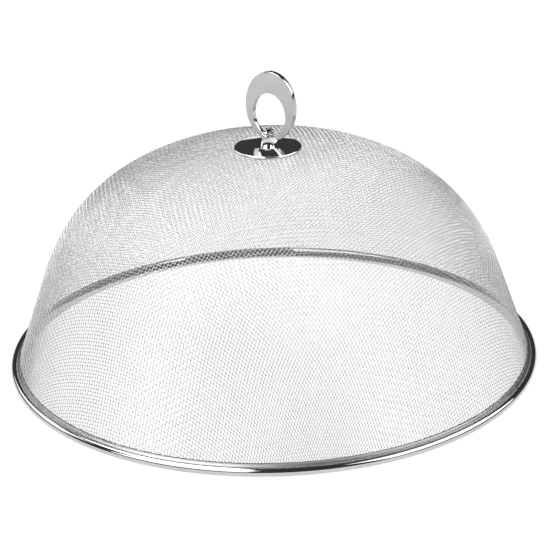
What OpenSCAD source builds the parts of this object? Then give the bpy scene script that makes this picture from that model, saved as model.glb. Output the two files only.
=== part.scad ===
// Mesh food cover: a pressed wire-mesh dome in a rolled rim, with an upright oval ring handle.
// Millimetres, +Z up. The origin is on the table under the middle of the dome.

/* [Mesh dome] */
// Height of the mesh crown above the table
dome_h = 144.5; // [125:0.5:165]
// Radius of the crown arc, beside the flat top
crown_r = 152; // [130:1:180]
// Angle that the crown arc turns through
crown_angle = 29; // [20:1:32]
// Lean of the straight lower wall from upright
wall_lean = 19.4; // [14:0.2:24]
// Radius of the flat top that the handle is clamped on
top_flat_r = 22.5; // [20:0.5:26]
// Diameter of one wire of the weave
wire_d = 0.35; // [0.2:0.05:0.6]
// Openings across the dome in the coarse net that stands for the weave
net_count = 12; // [6:2:12]
// Width of the net's bars
net_bar = 6; // [4:0.5:8]

/* [Rim] */
// Outer diameter of the rim
rim_d = 350; // [310:1:390]
// Height of the channel that grips the mesh edge
rim_h = 6.5; // [6:0.25:12]
// Diameter of the rolled bead
bead_d = 5.6; // [4:0.1:8]
// Thickness of the rim strip
strip_t = 0.6; // [0.4:0.05:0.9]

/* [Handle base] */
// Diameter of the base disc
disc_d = 43.8; // [36:0.2:45]
// Height of the disc's upright edge
disc_edge_h = 1.6; // [1:0.1:3]
// Height of the disc's crest above the mesh
disc_crest_h = 3.7; // [3:0.1:7]
// Diameter of the crest round the recess
disc_crest_d = 23; // [18:0.5:28]
// Diameter of the floor of the recess that the post stands in
disc_floor_d = 18.5; // [12:0.5:22]
// Thickness of the disc's sheet
disc_t = 0.8; // [0.5:0.1:1.2]

/* [Handle post and ring] */
// Diameter of the post
post_d = 9; // [7:0.1:11]
// Height of the post above the recess floor
post_h = 11; // [9.5:0.1:15]
// Bevel round the top of the post
post_bevel = 0.5; // [0.2:0.1:0.9]
// Metal between the post's foot and the ring's slot
slot_floor = 5; // [4:0.1:6]
// Width of the ring
ring_w = 37.2; // [30:0.2:46]
// Height of the ring
ring_h = 46.1; // [40:0.1:56]
// Thickness of the ring plate
ring_t = 3.6; // [2.5:0.1:5]
// Width of the ring's hole
hole_w = 24.5; // [18:0.1:28]
// Height of the ring's hole
hole_h = 28.9; // [22:0.1:34]
// Height of the ring below its hole
ring_foot = 2.9; // [2.2:0.1:4.5]
// Lean of the ring in its slot, toward +X
ring_lean = 7; // [0:0.5:8]

/* [Fastening] */
// Diameter of the post's spigot through the mesh
spigot_d = 6.5; // [5.5:0.1:8]
// Screw thread diameter
screw_d = 3.5; // [3:0.5:4.5]
// Metal left between the end of the screw's hole and the ring's slot
thread_stop = 0.8; // [0.4:0.1:1.2]
// Diameter of the screw head
head_d = 7; // [6:0.2:10]
// Height of the screw head
head_h = 2.6; // [2:0.1:4]
// Width of the cross recess in the head
cross_w = 0.9; // [0.6:0.1:1.4]
// Length of the cross recess in the head
cross_len = 4.2; // [3:0.2:5]
// Depth of the cross recess in the head
cross_depth = 1.3; // [0.8:0.1:1.8]
// Diameter of the clamping washer inside the dome
washer_d = 36; // [24:0.5:42]
// Thickness of the clamping washer
washer_t = 1; // [0.6:0.1:2]

/* [Fits] */
// Clearance each side of the mesh in the rim channel, and of the ring in its slot
seat_gap = 0.05; // [0.02:0.01:0.15]
// Clearance round the screw thread, and round the wire in the bead
fit_gap = 0.05; // [0.02:0.01:0.15]
// Clearance between what turns with the handle and what stays with the dome
turn_gap = 0.4; // [0.3:0.05:0.8]

/* [Hidden] */
$fn = 180;

steel = [0.74, 0.75, 0.76];
chrome = [0.86, 0.87, 0.88];

// The weave is two wires thick
mesh_t = 2 * wire_d;

// Radii across the rim, from the table edge inwards
bead_r = bead_d / 2;
bead_mid = rim_d / 2 - bead_r;
lip_mid = rim_d / 2 - bead_d - strip_t / 2;
mesh_r = lip_mid - strip_t / 2 - seat_gap;
band_mid = mesh_r - mesh_t - seat_gap - strip_t / 2;
core_d = bead_d - 2 * strip_t - 2 * fit_gap;
// Radial overlap that joins the lip to the bead
weld = strip_t / 2;

// The mesh bends upright where it enters the rim
hem_z = rim_h + strip_t;
edge_z = strip_t + 2 * seat_gap;

// The shoulder arc and the straight wall close the outline between the crown and the rim:
// two equations, one for the radius and one for the height
wall_angle = 90 - wall_lean;
span_r = mesh_r - top_flat_r - crown_r * sin(crown_angle);
span_z = dome_h - hem_z - crown_r * (1 - cos(crown_angle));
arc_r = sin(wall_angle) - sin(crown_angle);
arc_z = cos(crown_angle) - cos(wall_angle);
det = arc_r * sin(wall_angle) - arc_z * cos(wall_angle);
shoulder_r = (span_r * sin(wall_angle) - span_z * cos(wall_angle)) / det;
wall_len = (span_z * arc_r - span_r * arc_z) / det;
crown_c = [top_flat_r, dome_h - crown_r];
shoulder_c = crown_c + (crown_r - shoulder_r) * [sin(crown_angle), cos(crown_angle)];
wall_top = shoulder_c + shoulder_r * [sin(wall_angle), cos(wall_angle)];

// Lengths along the dome's outline from its axis, and the net's pitch along it
crown_end = top_flat_r + crown_r * crown_angle * PI / 180;
shoulder_end = crown_end + shoulder_r * (wall_angle - crown_angle) * PI / 180;
net_end = shoulder_end + wall_len;
net_pitch = 2 * net_end / net_count;

// Levels of the handle
disc_floor_z = dome_h + turn_gap + disc_t;
post_top = disc_floor_z + post_h;
ring_bottom = disc_floor_z + slot_floor + seat_gap;
ring_mid = ring_bottom + ring_h / 2;
hole_mid = ring_bottom + ring_foot + hole_h / 2;
mesh_under = dome_h - mesh_t;
washer_under = mesh_under - washer_t;
spigot_under = mesh_under + turn_gap;
bore_top = disc_floor_z + slot_floor - thread_stop;
screw_top = bore_top - fit_gap;
mesh_hole_d = spigot_d + 2 * turn_gap;
washer_hole_d = screw_d + 2 * turn_gap;

// Angle that neighbouring bands of the mesh section share
lap = 0.05;

// Unit direction at an angle from upright
function lean(a) = [sin(a), cos(a)];

// Radius of the dome's outline at a length along it from the axis
function outline_r(s) =
    s < top_flat_r ? s :
    s < crown_end ? crown_c[0] + crown_r * sin((s - top_flat_r) / crown_r * 180 / PI) :
    s < shoulder_end ? shoulder_c[0]
        + shoulder_r * sin(crown_angle + (s - crown_end) / shoulder_r * 180 / PI) :
    wall_top[0] + (s - shoulder_end) * cos(wall_angle);

// Section of a band of sheet that follows an arc, inside its outer radius
module arc_band(centre, radius, t, from, to) {
    reach = 2 * radius;
    translate(centre)
    intersection() {
        difference() {
            circle(r = radius);
            circle(r = radius - t);
        }
        polygon([[0, 0], reach * lean(from), reach * lean((from + to) / 2), reach * lean(to)]);
    }
}

// Section of a sheet of thickness t along straight runs, with round bends
module strip(points, t) {
    for (i = [0 : len(points) - 2]) {
        run = points[i + 1] - points[i];
        translate(points[i])
        rotate(atan2(run[1], run[0]))
        translate([0, -t / 2])
        square([norm(run), t]);
    }
    for (i = [1 : len(points) - 2])
        translate(points[i])
        circle(d = t);
}

// Upright oval in the ring's plane
module oval(w, h, mid) {
    translate([0, mid])
    scale([w / h, 1])
    circle(d = h);
}

// Plate that leans with the ring about the middle of the post's foot
module leaned_plate(t) {
    translate([0, 0, disc_floor_z])
    rotate([0, ring_lean, 0])
    rotate([90, 0, 0])
    linear_extrude(t, center = true)
    translate([0, -disc_floor_z])
    children();
}

// Plan of the net's openings, whose bars are a pitch apart along the dome's outline both ways.
// The top stays whole where the handle is clamped, and so does the edge above the rim.
module net_openings() {
    edge_r = outline_r(net_end - net_bar);
    clamp_r = disc_d / 2 + net_bar / 2;
    intersection() {
        for (turn = [0, 90, 180, 270], i = [0 : net_count / 2 - 1], j = [0 : net_count / 2 - 1]) {
            near = [outline_r(i * net_pitch + net_bar / 2), outline_r(j * net_pitch + net_bar / 2)];
            far = [outline_r((i + 1) * net_pitch - net_bar / 2),
                   outline_r((j + 1) * net_pitch - net_bar / 2)];
            if (norm(near) < edge_r - net_bar / 2)
                rotate(turn)
                translate(near)
                square(far - near);
        }
        difference() {
            circle(r = edge_r);
            circle(r = clamp_r);
        }
    }
}

module mesh_dome() {
    color(steel)
    difference() {
        dome_shell();
        translate([0, 0, hem_z])
        linear_extrude(dome_h)
        net_openings();
    }
}

module dome_shell() {
    // Length that the round bend at the hem takes off the wall and the hem
    bend = mesh_t / 2 * tan(wall_lean / 2);
    rotate_extrude() {
        translate([mesh_hole_d / 2, mesh_under])
        square([top_flat_r - mesh_hole_d / 2, mesh_t]);
        arc_band(crown_c, crown_r, mesh_t, 0, crown_angle);
        arc_band(shoulder_c, shoulder_r, mesh_t, crown_angle - lap, wall_angle + lap);
        translate(wall_top)
        rotate(-wall_angle)
        translate([0, -mesh_t])
        square([wall_len - bend, mesh_t]);
        translate([mesh_r - mesh_t / 2, hem_z - bend])
        circle(d = mesh_t);
        translate([mesh_r - mesh_t, edge_z])
        square([mesh_t, hem_z - bend - edge_z]);
    }
}

module rim_band() {
    color(chrome)
    rotate_extrude() {
        strip([[band_mid, rim_h], [band_mid, strip_t / 2],
               [lip_mid, strip_t / 2], [lip_mid, rim_h]], strip_t);
        translate([bead_mid, bead_r])
        difference() {
            circle(d = bead_d);
            circle(d = bead_d - 2 * strip_t);
        }
        translate([lip_mid, bead_r - weld])
        square([strip_t, 2 * weld]);
    }
}

module rim_wire() {
    color(steel)
    rotate_extrude()
    translate([bead_mid, bead_r])
    circle(d = core_d);
}

module base_disc() {
    edge_r = disc_d / 2 - disc_t / 2;
    floor_mid = disc_floor_z - disc_t / 2;
    color(chrome)
    rotate_extrude()
    strip([[edge_r, dome_h],
           [edge_r, dome_h + disc_edge_h - disc_t / 2],
           [disc_crest_d / 2, dome_h + disc_crest_h - disc_t / 2],
           [disc_floor_d / 2, floor_mid],
           [spigot_d / 2 + fit_gap, floor_mid]], disc_t);
}

module handle_post() {
    color(chrome)
    difference() {
        union() {
            rotate_extrude()
            polygon([[0, disc_floor_z], [post_d / 2, disc_floor_z],
                     [post_d / 2, post_top - post_bevel],
                     [post_d / 2 - post_bevel, post_top], [0, post_top]]);
            translate([0, 0, spigot_under])
            cylinder(d = spigot_d, h = disc_floor_z - spigot_under);
        }
        leaned_plate(ring_t + 2 * seat_gap) {
            oval(ring_w + 2 * seat_gap, ring_h + 2 * seat_gap, ring_mid);
            translate([-ring_w / 2, ring_mid])
            square([ring_w, ring_h]);
        }
        translate([0, 0, spigot_under - turn_gap])
        cylinder(d = screw_d + 2 * fit_gap, h = bore_top - spigot_under + turn_gap);
    }
}

module handle_ring() {
    color(steel)
    leaned_plate(ring_t)
    difference() {
        oval(ring_w, ring_h, ring_mid);
        oval(hole_w, hole_h, hole_mid);
    }
}

module handle_screw() {
    color(steel)
    difference() {
        union() {
            translate([0, 0, washer_under])
            cylinder(d = screw_d, h = screw_top - washer_under);
            translate([0, 0, washer_under - head_h])
            cylinder(d1 = head_d - head_h, d2 = head_d, h = head_h / 2);
            translate([0, 0, washer_under - head_h / 2])
            cylinder(d = head_d, h = head_h / 2);
        }
        for (turn = [0, 90])
            rotate(turn)
            translate([-cross_len / 2, -cross_w / 2, washer_under - head_h - cross_depth])
            cube([cross_len, cross_w, 2 * cross_depth]);
    }
}

module inner_washer() {
    color(steel)
    translate([0, 0, washer_under])
    difference() {
        cylinder(d = washer_d, h = washer_t);
        translate([0, 0, -washer_t])
        cylinder(d = washer_hole_d, h = 3 * washer_t);
    }
}

mesh_dome();
rim_band();
rim_wire();
base_disc();
handle_post();
handle_ring();
handle_screw();
inner_washer();
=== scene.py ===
"""Looks of the mesh food cover: woven wire over the dome, polished rim and handle, studio light."""
import math

import bpy
import numpy as np
from mathutils import Matrix, Vector


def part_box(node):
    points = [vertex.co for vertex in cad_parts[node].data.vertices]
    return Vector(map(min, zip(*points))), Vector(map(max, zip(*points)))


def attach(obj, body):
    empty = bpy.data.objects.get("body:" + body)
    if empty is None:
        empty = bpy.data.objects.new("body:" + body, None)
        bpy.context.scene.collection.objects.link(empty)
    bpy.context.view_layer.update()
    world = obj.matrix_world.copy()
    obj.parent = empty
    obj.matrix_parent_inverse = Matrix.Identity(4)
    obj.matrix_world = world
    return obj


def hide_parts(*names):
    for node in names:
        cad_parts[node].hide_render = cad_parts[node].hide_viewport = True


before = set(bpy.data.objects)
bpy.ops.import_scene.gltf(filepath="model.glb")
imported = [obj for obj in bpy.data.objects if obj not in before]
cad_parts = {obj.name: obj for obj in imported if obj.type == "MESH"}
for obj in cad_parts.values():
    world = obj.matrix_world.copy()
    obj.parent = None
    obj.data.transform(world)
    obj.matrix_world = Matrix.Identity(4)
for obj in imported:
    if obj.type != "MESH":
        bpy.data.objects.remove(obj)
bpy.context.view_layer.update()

# Section of the dome, in metres and radians, and the hole in its top that the spigot goes through
CROWN_R = 0.152
CROWN_ANGLE = math.radians(29)
WALL_ANGLE = math.radians(90 - 19.4)
TOP_FLAT_R = 0.0225
HOLE_R = 0.00365

# Section of the rim: the bead, and the lips of the channel, which lean apart toward the table
STRIP_T = 0.0006
BEAD_R = 0.0028
BEAD_JOIN = math.radians(30)
LIP_R = 0.1694
SLOT_INNER_R = 0.16805
SLOT_OUTER_R = 0.16875
FOLD_TOP_LEAN = math.radians(22)
FOLD_FOOT_LEAN = math.radians(9)
CORNER = 0.00004

# Weave of the mesh: each wire lies level for half a pitch at each crossing
WIRE_D = 0.00033
PITCH = 0.0022
WEAVE_TURN = math.radians(-2.7)
LEVEL = 0.25
BUNDLES = 6

# Wires have six sides, and each end is closed by two faces
WIRE_SIDES = 6
CAP = np.array([[0, 1, 2, 3], [0, 3, 4, 5]])

# Baked map of the wires: a lane for each, with a fifth of its height left free, and a face of its end
LANE_H = 1.25 * WIRE_SIDES
CAP_PLACE = np.array([[0.1, 0], [0.1, 2], [0.9, 2], [0.9, 0]])

# Search for the crossings of the weave
KNOT_ROUNDS = 12
KNOT_STEP = PITCH / 1000

# Ring handle, as an upright plate before it leans about the middle of the post's foot
RING_W = 0.0372
RING_H = 0.0461
RING_T = 0.0036
RING_BOTTOM = 0.15075
HOLE_W = 0.0245
HOLE_H = 0.0289
HOLE_BOTTOM = 0.15365
RING_EDGE = 0.0005
RING_LEAN = math.radians(7)
RING_PIVOT_Z = 0.1457

# Pressed disc under the handle
DISC_EDGE_H = 0.0016
DISC_CREST_R = 0.0115
DISC_FLOOR_R = 0.0066
DISC_T = 0.0008
DISC_BEND = 0.0009

# Post of the handle, turned with a waist between its foot and its head
POST_FOOT_R = 0.0052
POST_WAIST_R = 0.0036
POST_HEAD_R = 0.0045
POST_WAIST_H = 0.007
POST_EDGE = 0.0003
POST_BORE_R = 0.0016
SPIGOT_R = 0.00325
SEAT_GAP = 0.00005

# Fineness of round forms: points along a curve, and steps round an axis
DOME_STEPS = 400
BEAD_STEPS = 64
FOLD_STEPS = 24
EDGE_STEPS = 5
BEND_STEPS = 9
FLARE_STEPS = 24
RIM_TURNS = 480
RING_TURNS = 192
DISC_TURNS = 256
POST_TURNS = 128
SHARP_ANGLE = math.radians(30)
FLAT_COSINE = 0.999

# Grain of the metals: how much coarser its clouds are, and how far tone and polish swing
CLOUD_SCALE = 8
CLOUD_BAND = (0.3, 0.7)
POLISH_BAND = (0.7, 1.3)
GRAIN_DEPTH = 0.0002

# Camera, fitted to the photograph: where it stands, how it is turned and its lens
CAMERA_AZIMUTH = math.radians(35)
CAMERA_DISTANCE = 1.2
CAMERA_HEIGHT = 0.5623
CAMERA_PITCH = math.radians(22.87)
CAMERA_YAW = math.radians(0.1)
CAMERA_ROLL = math.radians(-1.68)
CAMERA_LENS = 129.2
SENSOR = 36

# Table and room: the table's glow and tone where it is seen, and its tone as it lights the cover
FLOOR_R = 12
FLOOR_SIDES = 96
FLOOR_GLOW = 0.92
FLOOR_SEEN = 0.12
FLOOR_TONE = 0.8
ROOM_TONE = 0.05
HORIZON = 0.02


# The dome's middle surface

def meridian():
    """Arc length, radius, height and lean of the normal along the weave's middle surface."""
    low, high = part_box("mesh_dome")
    dome_h = high.z
    mesh_r = high.x
    hem_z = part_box("rim_band")[1].z + STRIP_T
    # The shoulder arc and the straight wall close the outline between the crown and the hem
    span_r = mesh_r - TOP_FLAT_R - CROWN_R * math.sin(CROWN_ANGLE)
    span_z = dome_h - hem_z - CROWN_R * (1 - math.cos(CROWN_ANGLE))
    arc_r = math.sin(WALL_ANGLE) - math.sin(CROWN_ANGLE)
    arc_z = math.cos(CROWN_ANGLE) - math.cos(WALL_ANGLE)
    det = arc_r * math.sin(WALL_ANGLE) - arc_z * math.cos(WALL_ANGLE)
    shoulder_r = (span_r * math.sin(WALL_ANGLE) - span_z * math.cos(WALL_ANGLE)) / det
    crown_c = np.array([TOP_FLAT_R, dome_h - CROWN_R])
    reach = CROWN_R - shoulder_r
    shoulder_c = crown_c + reach * np.array([math.sin(CROWN_ANGLE), math.cos(CROWN_ANGLE)])

    def bend(centre, radius, start, end):
        lean = np.linspace(start, end, DOME_STEPS)
        across = np.stack([np.sin(lean), np.cos(lean)], -1)
        return centre + (radius - WIRE_D) * across, lean

    crown, crown_lean = bend(crown_c, CROWN_R, 0, CROWN_ANGLE)
    shoulder, shoulder_lean = bend(shoulder_c, shoulder_r, CROWN_ANGLE, WALL_ANGLE)
    hem_r = mesh_r - WIRE_D
    drop = (hem_r - shoulder[-1, 0]) * math.tan(WALL_ANGLE)
    wall_end = [hem_r, shoulder[-1, 1] - drop]
    # The outline goes on below the hem, for the crossings just past the mesh's edge
    below = [hem_r, low.z - 8 * PITCH]
    points = np.vstack([[[0, dome_h - WIRE_D]], crown, shoulder[1:], [wall_end, below]])
    upright = math.pi / 2
    lean = np.concatenate([[0], crown_lean, shoulder_lean[1:], [(WALL_ANGLE + upright) / 2, upright]])
    arc = np.concatenate([[0], np.cumsum(np.hypot(*np.diff(points, axis=0).T))])
    return arc, points[:, 0], points[:, 1], lean


ARC, RADIUS, HEIGHT, LEAN = meridian()


def place(flat):
    """Points of the middle surface, for points of the flat sheet at their arc length from the apex."""
    s = np.hypot(flat[..., 0], flat[..., 1])
    shrink = np.interp(s, ARC, RADIUS) / np.maximum(s, 1e-9)
    z = np.interp(s, ARC, HEIGHT)
    return np.stack([flat[..., 0] * shrink, flat[..., 1] * shrink, z], -1)


def normals(flat):
    """Outward normals of the middle surface at the same points."""
    s = np.maximum(np.hypot(flat[..., 0], flat[..., 1]), 1e-9)
    lean = np.interp(s, ARC, LEAN)
    out = np.sin(lean) / s
    return np.stack([flat[..., 0] * out, flat[..., 1] * out, np.cos(lean)], -1)


# The weave

def next_knots(a, b, corner):
    """Knots one pitch from both neighbours, on the far side from the corner that those share."""
    at_a, at_b = place(a), place(b)
    knot = a + b - corner
    for _ in range(KNOT_ROUNDS):
        p = place(knot)
        along_x = (place(knot + [KNOT_STEP, 0]) - p) / KNOT_STEP
        along_y = (place(knot + [0, KNOT_STEP]) - p) / KNOT_STEP
        to_a, to_b = p - at_a, p - at_b
        miss_a = (to_a ** 2).sum(-1) - PITCH ** 2
        miss_b = (to_b ** 2).sum(-1) - PITCH ** 2
        ax, ay = 2 * (to_a * along_x).sum(-1), 2 * (to_a * along_y).sum(-1)
        bx, by = 2 * (to_b * along_x).sum(-1), 2 * (to_b * along_y).sum(-1)
        det = ax * by - ay * bx
        move = np.stack([by * miss_a - ay * miss_b, ax * miss_b - bx * miss_a], -1)
        knot = knot - move / det[..., None]
    return knot


def weave_knots(reach):
    """Crossings of a square weave pressed over the dome: every cell keeps its four sides and shears."""
    count = int(reach / PITCH) + 2
    quarter = np.full((count + 1, count + 1, 2), np.nan)
    quarter[:, 0] = np.outer(np.arange(count + 1) * PITCH, [1, 0])
    quarter[0, :] = np.outer(np.arange(count + 1) * PITCH, [0, 1])
    for diagonal in range(2, 2 * count + 1):
        i = np.arange(max(1, diagonal - count), min(diagonal - 1, count) + 1)
        j = diagonal - i
        knots = next_knots(quarter[i - 1, j], quarter[i, j - 1], quarter[i - 1, j - 1])
        knots[np.hypot(*knots.T) > reach + 2 * PITCH] = np.nan
        quarter[i, j] = knots
    side = np.arange(-count, count + 1)
    i, j = np.meshgrid(side, side, indexing="ij")
    signs = np.stack([np.where(i < 0, -1, 1), np.where(j < 0, -1, 1)], -1)
    knots = quarter[np.abs(i), np.abs(j)] * signs
    c, s = math.cos(WEAVE_TURN), math.sin(WEAVE_TURN)
    return knots @ np.array([[c, s], [-s, c]]), (i + j) % 2 * 2 - 1


def crimp(flat, side):
    """A wire with two points for each crossing, at the ends of its level stretch."""
    knots = np.arange(len(flat))
    steps = np.unique(np.clip(np.concatenate([knots - LEVEL, knots + LEVEL]), 0, knots[-1]))
    points = [np.interp(steps, knots, flat[:, axis]) for axis in (0, 1)]
    return np.stack(points, -1), side[np.rint(steps).astype(int)]


def cut_runs(row, over, inner, outer):
    """Stretches of one wire between the hole and the edge, cut off where it crosses the edge."""
    s = np.hypot(*row.T)
    inside = (s >= inner) & (s <= outer)
    steps = np.flatnonzero(np.diff(np.concatenate([[False], inside, [False]]).astype(int)))
    for first, last in zip(steps[::2], steps[1::2] - 1):
        flat, side = row[first:last + 1], over[first:last + 1].astype(float)
        for at_start, near, far in ((True, first, first - 1), (False, last, last + 1)):
            if 0 <= far < len(row) and s[far] > outer:
                share = (outer - s[near]) / (s[far] - s[near])
                spot = 0 if at_start else len(flat)
                flat = np.insert(flat, spot, row[near] + share * (row[far] - row[near]), axis=0)
                side = np.insert(side, spot, over[near] * (1 - 2 * share))
        if len(flat) > 1:
            yield crimp(flat, side)


def tube(flat, side):
    """Rings of vertices round a wire that passes over and under its neighbours by half its diameter."""
    up = normals(flat)
    centre = place(flat) + up * (side * WIRE_D / 2)[:, None]
    along = np.gradient(centre, axis=0)
    across = np.cross(along, up)
    across /= np.linalg.norm(across, axis=1, keepdims=True)
    up = np.cross(across, along)
    up /= np.linalg.norm(up, axis=1, keepdims=True)
    turn = np.arange(WIRE_SIDES) * 2 * math.pi / WIRE_SIDES
    spokes = np.cos(turn)[:, None] * across[:, None] + np.sin(turn)[:, None] * up[:, None]
    return centre[:, None] + spokes * WIRE_D / 2


def quad_mesh(name, points, quads, places, smooth=True):
    """Object made of four-sided faces, with a place on the baked map for each corner."""
    mesh = bpy.data.meshes.new(name)
    mesh.vertices.add(len(points))
    mesh.vertices.foreach_set("co", points.astype(np.float32).ravel())
    mesh.loops.add(quads.size)
    mesh.loops.foreach_set("vertex_index", quads.astype(np.int32).ravel())
    mesh.polygons.add(len(quads))
    mesh.polygons.foreach_set("loop_start", np.arange(len(quads), dtype=np.int32) * 4)
    mesh.polygons.foreach_set("use_smooth", np.broadcast_to(smooth, len(quads)).astype(bool))
    layer = mesh.uv_layers.new(name="OFBake")
    layer.uv.foreach_set("vector", places.astype(np.float32).ravel())
    mesh.update()
    mesh.validate()
    piece = bpy.data.objects.new(name, mesh)
    bpy.context.scene.collection.objects.link(piece)
    return piece


def lane_places(count):
    """Places on the map for the walls of one wire, a step apart along its lane, and for its two ends."""
    u = np.arange(count - 1)[:, None] + [[1, 1, 2, 2]]
    v = np.arange(WIRE_SIDES)[:, None] + [[0, 1, 1, 0]]
    walls = np.stack(np.broadcast_arrays(u[:, None, :], v[None]), -1).reshape(-1, 4, 2)
    ends = [CAP_PLACE + [end, half] for end in (0, count) for half in (0, WIRE_SIDES / 2)]
    return np.concatenate([walls, np.stack(ends)])


def wire_bundle(name, runs):
    """One object of many wires; on the map each wire is a lane, as long as the wire."""
    longest = max(len(flat) for flat, _ in runs)
    ring = np.arange(WIRE_SIDES)
    after = (ring + 1) % WIRE_SIDES
    points, quads, places, start = [], [], [], 0
    for lane, (flat, side) in enumerate(runs):
        rings = tube(flat, side)
        count = len(rings)
        near = start + np.arange(count - 1)[:, None] * WIRE_SIDES
        far = near + WIRE_SIDES
        walls = np.stack([near + ring, near + after, far + after, far + ring], -1)
        last = start + (count - 1) * WIRE_SIDES
        quads += [walls.reshape(-1, 4), start + CAP[:, ::-1], last + CAP]
        points.append(rings.reshape(-1, 3))
        start += count * WIRE_SIDES
        lane_corner = [0, lane * LANE_H]
        places.append((lane_places(count) + lane_corner) / [longest + 1, len(runs) * LANE_H])
    return quad_mesh(name, np.concatenate(points), np.concatenate(quads), np.concatenate(places))


def weave_dome():
    """The wire mesh, as bundles of warp and weft wires that end inside the rim's channel."""
    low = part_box("mesh_dome")[0]
    edge = np.interp(-low.z - WIRE_D, -HEIGHT, ARC)
    knots, over = weave_knots(edge)
    bundles = []
    for way, rows, lifts in (("warp", knots, over), ("weft", knots.transpose(1, 0, 2), -over.T)):
        runs = [run for row, lift in zip(rows, lifts) for run in cut_runs(row, lift, HOLE_R, edge)]
        share = np.cumsum([len(flat) for flat, _ in runs])
        bundle = np.minimum(share * BUNDLES // (share[-1] + 1), BUNDLES - 1)
        for k in range(BUNDLES):
            chosen = [run for run, b in zip(runs, bundle) if b == k]
            bundles.append(wire_bundle(f"mesh_{way}_{k + 1}", chosen))
    return bundles


# Turned forms

def closed_grid(name, points, smooth):
    """Object of loops of points, each joined to the next and the last to the first."""
    count, turns = points.shape[:2]
    i, j = np.meshgrid(np.arange(count), np.arange(turns), indexing="ij")
    corner = ((0, 0), (0, 1), (1, 1), (1, 0))
    quads = np.stack([(i + di) % count * turns + (j + dj) % turns for di, dj in corner], -1)
    places = np.stack([np.stack([(j + dj) / turns, (i + di) / count], -1) for di, dj in corner], -2)
    return quad_mesh(name, points.reshape(-1, 3), quads.reshape(-1, 4), places.reshape(-1, 2),
                     np.repeat(smooth, turns))


def turned(name, section, turns):
    """Smooth object turned from a closed section that is listed from its inner foot outward and back."""
    turn = np.arange(turns) * 2 * math.pi / turns
    section = section[::-1, None]
    points = np.stack(np.broadcast_arrays(
        section[..., 0] * np.cos(turn), section[..., 0] * np.sin(turn), section[..., 1]), -1)
    return closed_grid(name, points, np.full(len(section), True))


def firm_corners(path):
    """The same path with a point close to each end of each stretch, so that shading keeps its corners."""
    path = np.asarray(path, float)
    points = [path[0]]
    for start, end in zip(path[:-1], path[1:]):
        step = (end - start) * CORNER / np.linalg.norm(end - start)
        points += [start + step, end - step, end]
    return np.array(points)


def rounded(path):
    """The same path with each inner corner drawn as a curve that starts and ends close to it."""
    path = np.asarray(path, float)
    points = [path[:1]]
    share = np.linspace(0, 1, BEND_STEPS)[:, None]
    for before, corner, after in zip(path, path[1:], path[2:]):
        start = corner + DISC_BEND * (before - corner) / np.linalg.norm(before - corner)
        end = corner + DISC_BEND * (after - corner) / np.linalg.norm(after - corner)
        points.append((1 - share) ** 2 * start + 2 * share * (1 - share) * corner + share ** 2 * end)
    return np.vstack(points + [path[-1:]])


def flare(span, gain):
    """Growth in radius at steps along a span that an arc runs out from, to its whole gain."""
    radius = (span ** 2 + gain ** 2) / (2 * gain)
    steps = np.linspace(0, span, FLARE_STEPS)
    return steps, radius - np.sqrt(radius ** 2 - steps ** 2)


# The rim

def rim_section():
    """Outline of the rim's section as (radius, height), from its inner foot outward and back."""
    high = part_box("rim_band")[1]
    bead_c = np.array([min(high.x, high.y) - BEAD_R, BEAD_R])
    turn = np.linspace(math.pi + BEAD_JOIN, 3 * math.pi - BEAD_JOIN, BEAD_STEPS)
    bead = bead_c + BEAD_R * np.stack([np.cos(turn), np.sin(turn)], -1)
    # The inner fold leans more and more from its foot to its top
    fold_z = np.linspace(high.z, STRIP_T / 2, FOLD_STEPS)
    fold_lean = np.linspace(FOLD_TOP_LEAN, FOLD_FOOT_LEAN, FOLD_STEPS)
    drop = np.concatenate([[0], np.diff(fold_z) * np.tan((fold_lean[1:] + fold_lean[:-1]) / 2)])
    fold = np.stack([SLOT_INNER_R + np.cumsum(drop), fold_z], -1)
    foot = [fold[-1, 0] + STRIP_T / 2, 0]
    underside = [foot, [LIP_R, 0], bead[0]]
    slot = [[SLOT_OUTER_R, high.z], [SLOT_OUTER_R, STRIP_T], [SLOT_INNER_R, STRIP_T]]
    lips = [bead[-1], [LIP_R, high.z], *slot, fold[0]]
    return np.vstack([firm_corners(underside), bead[1:-1], firm_corners(lips), fold[1:]])


def turned_rim():
    """The rim, with the slot that the mesh's hem stands in."""
    return turned("rim_turned", rim_section(), RIM_TURNS)


def on_lip(face):
    """Whether a face of the rim lies on the outer lip above the bead."""
    join_z = BEAD_R * (1 + math.sin(BEAD_JOIN))
    join_r = LIP_R + BEAD_R * (1 - math.cos(BEAD_JOIN))
    return face.center.z > join_z and SLOT_OUTER_R < face.center.xy.length < join_r


# The ring handle

def oval(width, height, bottom, turn):
    """Points of an upright oval and its outward directions, at the given angles."""
    a, b = width / 2, height / 2
    points = np.stack([a * np.cos(turn), bottom + b + b * np.sin(turn)], -1)
    out = np.stack([b * np.cos(turn), a * np.sin(turn)], -1)
    return points, out / np.linalg.norm(out, axis=1, keepdims=True)


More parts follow.
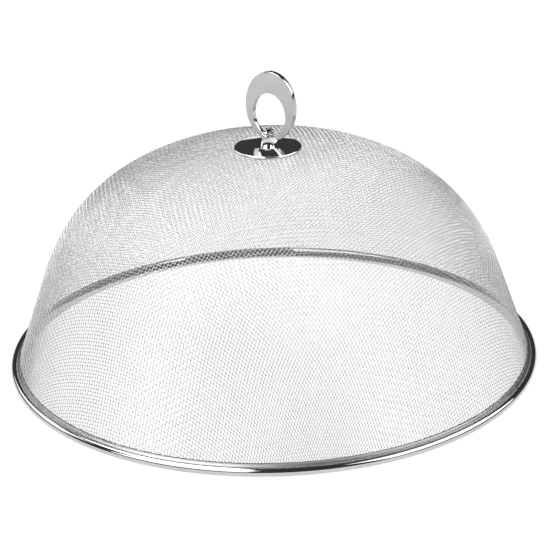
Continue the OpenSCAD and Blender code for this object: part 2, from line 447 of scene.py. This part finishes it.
def ring_plate():
    """Flat oval plate with an oval hole and softened edges, leaned toward +X."""
    turn = np.arange(RING_TURNS) * 2 * math.pi / RING_TURNS
    outline, outline_out = oval(RING_W, RING_H, RING_BOTTOM, turn)
    hole, hole_out = oval(HOLE_W, HOLE_H, HOLE_BOTTOM, turn)
    bend = np.linspace(0, math.pi / 2, EDGE_STEPS)
    inset = RING_EDGE * (1 - np.cos(bend))
    depth = RING_T / 2 - RING_EDGE * (1 - np.sin(bend))
    # Each wall is a run of loops: across the outline, and back across the hole
    wall = list(zip(inset[::-1], depth[::-1])) + list(zip(inset, -depth))
    loops = [(outline - outline_out * off, y) for off, y in wall]
    loops += [(hole + hole_out * off, y) for off, y in reversed(wall)]
    flat = np.stack([points for points, _ in loops])
    y = np.broadcast_to(np.array([y for _, y in loops])[:, None], flat.shape[:2])
    rise = flat[..., 1] - RING_PIVOT_Z
    c, s = math.cos(RING_LEAN), math.sin(RING_LEAN)
    points = np.stack([flat[..., 0] * c + rise * s, y, RING_PIVOT_Z - flat[..., 0] * s + rise * c], -1)
    # The two faces lie between the last loop of one wall and the first loop of the other
    smooth = (np.arange(len(loops)) + 1) % len(wall) != 0
    return closed_grid("ring_plate", points, smooth)


def on_ring_face(face):
    """Whether a face of the ring lies on one of its two flat sides."""
    return abs(face.normal.y) > FLAT_COSINE


# The disc and the post

def disc_section():
    """Outline of the disc's section as (radius, height), along its underside outward and back on top."""
    low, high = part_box("base_disc")
    edge_r = min(high.x, high.y)
    edge_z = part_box("mesh_dome")[1].z + DISC_EDGE_H
    inner_r = SPIGOT_R + 2 * SEAT_GAP
    # The corner of the crest lies a little too high, because its round bend then passes below it
    crest = [DISC_CREST_R, high.z + DISC_T / 4]
    top = [[edge_r, low.z], [edge_r, edge_z], crest, [DISC_FLOOR_R, RING_PIVOT_Z], [inner_r, RING_PIVOT_Z]]
    under = [[inner_r, RING_PIVOT_Z - DISC_T], [DISC_FLOOR_R - DISC_T / 2, RING_PIVOT_Z - DISC_T],
             [DISC_CREST_R, high.z - DISC_T], [edge_r - DISC_T, edge_z - DISC_T], [edge_r - DISC_T, low.z]]
    return np.vstack([under, rounded(top)])


def pressed_disc():
    """The disc, with round bends at its edge, its crest and the foot of its recess."""
    disc = turned("disc_pressed", disc_section(), DISC_TURNS)
    disc.data.set_sharp_from_angle(angle=SHARP_ANGLE)
    return disc


def post_section():
    """Outline of the post's section as (radius, height), from the spigot's bore outward and back."""
    low, high = (corner.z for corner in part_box("handle_post"))
    waist_z = RING_PIVOT_Z + POST_WAIST_H
    drop, foot = flare(POST_WAIST_H, POST_FOOT_R - POST_WAIST_R)
    rise, head = flare(high - POST_EDGE - waist_z, POST_HEAD_R - POST_WAIST_R)
    spigot = [[POST_BORE_R, low], [SPIGOT_R, low], [SPIGOT_R, RING_PIVOT_Z]]
    foot_arc = np.stack([POST_WAIST_R + foot, waist_z - drop], -1)[::-1]
    head_arc = np.stack([POST_WAIST_R + head, waist_z + rise], -1)
    top = [[POST_HEAD_R - POST_EDGE, high], [POST_BORE_R, high]]
    return np.vstack([spigot, foot_arc, head_arc[1:], top])


def turned_post():
    """The post, with the slot across its upper part that the ring stands in."""
    post = turned("post_turned", post_section(), POST_TURNS)
    slot_z = RING_BOTTOM - SEAT_GAP
    # The cutter is wider and higher than the post
    height = 2 * (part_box("handle_post")[1].z - slot_z)
    bpy.ops.mesh.primitive_cube_add(size=1, location=(0, 0, slot_z + height / 2))
    cutter = bpy.context.object
    cutter.scale = (4 * POST_FOOT_R, RING_T + 2 * SEAT_GAP, height)
    cut = post.modifiers.new("slot", "BOOLEAN")
    cut.object = cutter
    bpy.context.view_layer.objects.active = post
    bpy.ops.object.modifier_apply(modifier="slot")
    bpy.data.objects.remove(cutter)
    # The cut faces have no place on the turned map, so this piece is left without one
    post.data.uv_layers.remove(post.data.uv_layers["OFBake"])
    post.data.set_sharp_from_angle(angle=SHARP_ANGLE)
    return post


def on_post_top(face):
    """Whether a face of the post lies on its flat top."""
    return face.center.z > RING_PIVOT_Z + POST_WAIST_H and face.normal.z > FLAT_COSINE


# Materials

def link(tree, source, output, target, entry):
    """Join an output of one shader node to an input of another."""
    tree.links.new(source.outputs[output], target.inputs[entry])


def polished_metal(name, tone, roughness, spread=0.05, grain=350.0, relief=0.02):
    """Grey metal with faint cloudy tone, uneven polish and a very shallow surface grain."""
    material = bpy.data.materials.new(name)
    material.use_nodes = True
    tree = material.node_tree
    shader = tree.nodes["Principled BSDF"]
    shader.inputs["Metallic"].default_value = 1.0
    coords = tree.nodes.new("ShaderNodeTexCoord")

    clouds = tree.nodes.new("ShaderNodeTexNoise")
    clouds.inputs["Scale"].default_value = grain / CLOUD_SCALE
    clouds.inputs["Detail"].default_value = 4
    link(tree, coords, "Object", clouds, "Vector")
    tones = tree.nodes.new("ShaderNodeValToRGB")
    for element, position, share in zip(tones.color_ramp.elements, CLOUD_BAND, (1 - spread, 1 + spread)):
        element.position = position
        element.color = [tone * share] * 3 + [1]
    link(tree, clouds, "Fac", tones, "Fac")
    link(tree, tones, "Color", shader, "Base Color")

    fine = tree.nodes.new("ShaderNodeTexNoise")
    fine.inputs["Scale"].default_value = grain
    fine.inputs["Detail"].default_value = 3
    link(tree, coords, "Object", fine, "Vector")
    polish = tree.nodes.new("ShaderNodeMapRange")
    polish.inputs["To Min"].default_value = roughness * POLISH_BAND[0]
    polish.inputs["To Max"].default_value = roughness * POLISH_BAND[1]
    link(tree, fine, "Fac", polish, "Value")
    link(tree, polish, "Result", shader, "Roughness")
    bump = tree.nodes.new("ShaderNodeBump")
    bump.inputs["Strength"].default_value = relief
    bump.inputs["Distance"].default_value = GRAIN_DEPTH
    link(tree, fine, "Fac", bump, "Height")
    link(tree, bump, "Normal", shader, "Normal")
    return material


def finish_faces(piece, material, chosen):
    """Give the faces of a piece that the test chooses a second finish."""
    piece.data.materials.append(material)
    for face in piece.data.polygons:
        if chosen(face):
            face.material_index = 1


# Studio

def add_camera():
    """The photograph's camera, turned by its pitch, then its yaw and then its roll."""
    toward = Vector((-math.sin(CAMERA_AZIMUTH), math.cos(CAMERA_AZIMUTH), 0))
    right = Vector((math.cos(CAMERA_AZIMUTH), math.sin(CAMERA_AZIMUTH), 0))
    level_up = Vector((0, 0, 1))
    ahead = math.cos(CAMERA_PITCH) * toward - math.sin(CAMERA_PITCH) * level_up
    up = math.sin(CAMERA_PITCH) * toward + math.cos(CAMERA_PITCH) * level_up
    ahead, right = (
        math.cos(CAMERA_YAW) * ahead + math.sin(CAMERA_YAW) * right,
        math.cos(CAMERA_YAW) * right - math.sin(CAMERA_YAW) * ahead,
    )
    right, up = (
        math.cos(CAMERA_ROLL) * right + math.sin(CAMERA_ROLL) * up,
        math.cos(CAMERA_ROLL) * up - math.sin(CAMERA_ROLL) * right,
    )
    data = bpy.data.cameras.new("camera")
    data.lens = CAMERA_LENS
    data.sensor_width = SENSOR
    camera = bpy.data.objects.new("camera", data)
    facing = Matrix((right, up, -ahead)).transposed().to_4x4()
    stand = -CAMERA_DISTANCE * toward + CAMERA_HEIGHT * level_up
    camera.matrix_world = Matrix.Translation(stand) @ facing
    bpy.context.scene.collection.objects.link(camera)
    bpy.context.scene.camera = camera


def seen_directly(tree):
    """Value that is 1 for rays that show a surface to the camera, straight or by mirror or glass."""
    path = tree.nodes.new("ShaderNodeLightPath")
    first = tree.nodes.new("ShaderNodeMath")
    first.operation = "MAXIMUM"
    link(tree, path, "Is Camera Ray", first, 0)
    link(tree, path, "Is Glossy Ray", first, 1)
    both = tree.nodes.new("ShaderNodeMath")
    both.operation = "MAXIMUM"
    link(tree, first, "Value", both, 0)
    link(tree, path, "Is Transmission Ray", both, 1)
    return both


def matte(tree, tone):
    """Matte grey shader of the given tone."""
    shader = tree.nodes.new("ShaderNodeBsdfDiffuse")
    shader.inputs["Color"].default_value = (tone, tone, tone, 1)
    return shader


def add_floor():
    """White table top that keeps a soft shadow."""
    bpy.ops.mesh.primitive_circle_add(vertices=FLOOR_SIDES, radius=FLOOR_R, fill_type="NGON")
    floor = bpy.context.object
    floor.name = "floor"
    material = bpy.data.materials.new("white_table")
    material.use_nodes = True
    tree = material.node_tree
    tree.nodes.remove(tree.nodes["Principled BSDF"])
    output = tree.nodes["Material Output"]
    glow = tree.nodes.new("ShaderNodeEmission")
    glow.inputs["Strength"].default_value = FLOOR_GLOW
    bright = tree.nodes.new("ShaderNodeAddShader")
    link(tree, matte(tree, FLOOR_SEEN), "BSDF", bright, 0)
    link(tree, glow, "Emission", bright, 1)
    mix = tree.nodes.new("ShaderNodeMixShader")
    link(tree, seen_directly(tree), "Value", mix, "Fac")
    link(tree, matte(tree, FLOOR_TONE), "BSDF", mix, 1)
    link(tree, bright, "Shader", mix, 2)
    link(tree, mix, "Shader", output, "Surface")
    floor.data.materials.append(material)


def add_world():
    """Dark room above the table, white below it."""
    world = bpy.data.worlds.new("studio")
    bpy.context.scene.world = world
    world.use_nodes = True
    tree = world.node_tree
    back = tree.nodes["Background"]
    coords = tree.nodes.new("ShaderNodeTexCoord")
    split = tree.nodes.new("ShaderNodeSeparateXYZ")
    link(tree, coords, "Generated", split, "Vector")
    ramp = tree.nodes.new("ShaderNodeValToRGB")
    for element, position, tone in zip(ramp.color_ramp.elements, (0, HORIZON), (1, ROOM_TONE)):
        element.position = position
        element.color = (tone, tone, tone, 1)
    link(tree, split, "Z", ramp, "Fac")
    link(tree, ramp, "Color", back, "Color")


def add_panel(name, turn, foot, head, width, radiance):
    """Light panel at a turn to the right of the camera's direction.

    Its lower and upper edges, foot and head, are given by their distance out from the dome's axis
    and their height.
    """
    heading = CAMERA_AZIMUTH + math.radians(turn)
    out = Vector((math.sin(heading), -math.cos(heading), 0))
    low = out * foot[0] + Vector((0, 0, foot[1]))
    high = out * head[0] + Vector((0, 0, head[1]))
    rise = high - low
    data = bpy.data.lights.new(name, "AREA")
    data.shape = "RECTANGLE"
    data.size = width
    data.size_y = rise.length
    data.energy = radiance * math.pi * width * rise.length
    lamp = bpy.data.objects.new(name, data)
    across = Vector((0, 0, 1)).cross(out)
    up = rise.normalized()
    facing = Matrix((across, up, across.cross(up))).transposed().to_4x4()
    lamp.matrix_world = Matrix.Translation((low + high) / 2) @ facing
    bpy.context.scene.collection.objects.link(lamp)


def add_lights():
    """Panels that the polished parts mirror, well above the table, so that the rim's back stays dark."""
    add_panel("front_left", turn=-40, foot=(1.25, 0.4), head=(1.1, 1.5), width=1.35, radiance=2.1)
    add_panel("left", turn=-117, foot=(1.35, 0.35), head=(1.2, 1.1), width=1.2, radiance=1.7)
    add_panel("right", turn=79, foot=(1.25, 0.42), head=(0.8, 1.3), width=1.7, radiance=2.8)
    add_panel("overhead", turn=-90, foot=(1.05, 1.4), head=(0.2, 1.7), width=1.8, radiance=5.3)


# The cover

def dress(piece, material, body, node):
    """Finish a piece, attach it to the body that carries it, and hide the node that it replaces."""
    piece.data.materials.clear()
    piece.data.materials.append(material)
    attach(piece, body)
    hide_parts(node)


def dress_cover():
    """Every piece that is made here, and plain steel on the hidden nodes that stay as they are."""
    wire = polished_metal("bright_wire", tone=0.56, roughness=0.18, spread=0.08, grain=900)
    rim_polish = polished_metal("rim_polish", tone=0.56, roughness=0.07)
    satin = polished_metal("satin_lip", tone=0.66, roughness=0.35)
    chrome = polished_metal("mirror_chrome", tone=0.72, roughness=0.03, spread=0.03)
    ring_polish = polished_metal("ring_polish", tone=0.5, roughness=0.1)
    ring_satin = polished_metal("ring_satin", tone=0.54, roughness=0.4)
    plain = polished_metal("plain_steel", tone=0.5, roughness=0.3, spread=0.1)
    for bundle in weave_dome():
        dress(bundle, wire, "dome", "mesh_dome")
    ring = ring_plate()
    dress(ring, ring_polish, "handle", "handle_ring")
    finish_faces(ring, ring_satin, on_ring_face)
    rim = turned_rim()
    dress(rim, rim_polish, "dome", "rim_band")
    finish_faces(rim, satin, on_lip)
    dress(pressed_disc(), chrome, "handle", "base_disc")
    post = turned_post()
    dress(post, chrome, "handle", "handle_post")
    finish_faces(post, satin, on_post_top)
    for node in ("rim_wire", "handle_screw", "inner_washer"):
        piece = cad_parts[node]
        piece.data.materials.clear()
        piece.data.materials.append(plain)


dress_cover()
add_camera()
add_floor()
add_world()
add_lights()
bpy.context.scene.view_settings.view_transform = "Standard"
